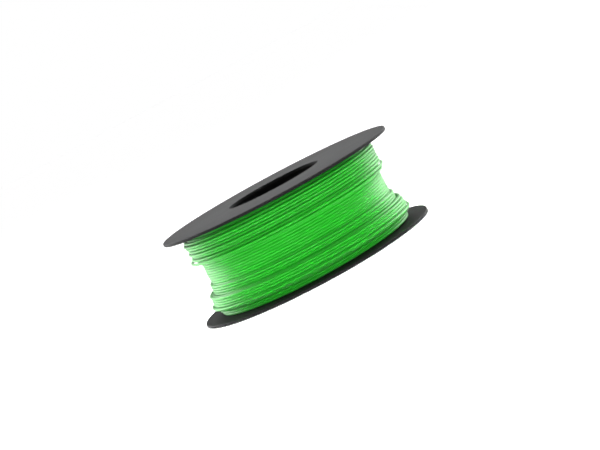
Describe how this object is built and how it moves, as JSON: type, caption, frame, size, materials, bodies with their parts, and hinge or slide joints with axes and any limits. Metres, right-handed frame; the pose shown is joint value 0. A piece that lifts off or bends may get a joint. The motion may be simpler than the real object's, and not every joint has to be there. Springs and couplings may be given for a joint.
{
  "type": "wire spool",
  "caption": "Small flat-flanged plastic spool wound full of thin green hook-up wire, with a wide through bore for a dispenser rod.",
  "frame": {"origin": "centre of the lower flange's outer face, where the spool stands", "axes": "+Z along the spool's axis, from the lower flange to the upper one; the wire's inner end is at 45 degrees from +X and its outer end at about 117 degrees"},
  "size_m": [0.1, 0.1, 0.0377],
  "materials": {
    "black_plastic": "satin moulded",
    "green_insulation": "smooth extruded",
    "copper": "bright drawn"
  },
  "bodies": {
    "root": {"flange_lower": "black_plastic", "flange_upper": "black_plastic", "barrel_tube": "black_plastic", "bore_sleeve": "black_plastic", "wire_winding": "green_insulation", "wire_start_lead": "green_insulation", "wire_tail": "green_insulation", "start_strands": "copper", "tail_strands": "copper"}
  },
  "joints": []
}
